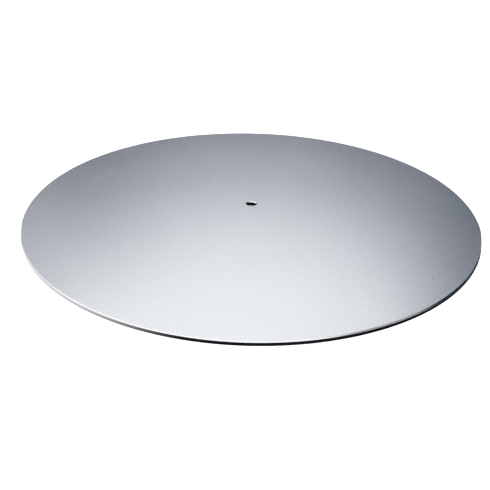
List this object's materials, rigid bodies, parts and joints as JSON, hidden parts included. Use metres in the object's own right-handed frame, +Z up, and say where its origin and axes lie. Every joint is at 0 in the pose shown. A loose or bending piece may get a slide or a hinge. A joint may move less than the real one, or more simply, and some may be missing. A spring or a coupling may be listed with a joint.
{
  "type": "banding wheel",
  "caption": "Low banding wheel: a thin flat round metal wheel head with a small centring hole, turning by hand on a ball-bearing spindle in a heavy round cast base.",
  "frame": {"origin": "centre of the base, on the table that the feet stand on", "axes": "+Z up along the spindle; the bare face of the wheel head is the top. The part is round, so +X and +Y are free: a foot, a cover screw and a rib of the hub lie on +X"},
  "size_m": [0.3, 0.3, 0.06],
  "materials": {
    "satin_aluminium": "bead-blasted and anodised satin, with bright turned bevels at the rim and the hole",
    "aluminium_studs": "rolled thread, bare",
    "cast_aluminium": "as cast, with turned faces",
    "ground_steel": "ground",
    "bearing_steel": "polished",
    "cage_plastic": "moulded, satin",
    "spring_steel": "phosphated dark",
    "zinc_plated": "bright zinc plating",
    "painted_iron": "dark grey hammered enamel over cast iron",
    "rubber": "moulded, matte"
  },
  "bodies": {
    "base": {"base_casting": "painted_iron", "upper_outer_ring": "bearing_steel", "lower_outer_ring": "bearing_steel", "upper_shields": "zinc_plated", "lower_shields": "zinc_plated", "housing_clip": "spring_steel", "bearing_cover": "zinc_plated", "cover_screws": "zinc_plated", "rubber_feet": "rubber", "foot_washers": "zinc_plated", "foot_screws": "zinc_plated"},
    "wheel_head": {"wheel_disc": "satin_aluminium", "weld_studs": "aluminium_studs", "stud_washers": "zinc_plated", "stud_nuts": "zinc_plated", "hub": "cast_aluminium", "grub_screws": "spring_steel", "spindle": "ground_steel", "upper_inner_ring": "bearing_steel", "lower_inner_ring": "bearing_steel", "spacer_sleeve": "ground_steel", "shim_washer": "spring_steel", "spindle_clip": "spring_steel"},
    "upper_ball_set": {"upper_balls": "bearing_steel", "upper_cage": "cage_plastic"},
    "lower_ball_set": {"lower_balls": "bearing_steel", "lower_cage": "cage_plastic"}
  },
  "joints": [
    {"name": "head_spin", "type": "hinge", "parent": "base", "child": "wheel_head", "pos_m": [0, 0, 0.0355], "axis": [0, 0, 1], "continuous": true},
    {"name": "upper_ball_orbit", "type": "hinge", "parent": "base", "child": "upper_ball_set", "pos_m": [0, 0, 0.0355], "axis": [0, 0, 1], "continuous": true},
    {"name": "lower_ball_orbit", "type": "hinge", "parent": "base", "child": "lower_ball_set", "pos_m": [0, 0, 0.0165], "axis": [0, 0, 1], "continuous": true}
  ],
  "couplings": [
    {"joint": "upper_ball_orbit", "follows": "head_spin", "ratio": 0.381},
    {"joint": "lower_ball_orbit", "follows": "head_spin", "ratio": 0.381}
  ]
}
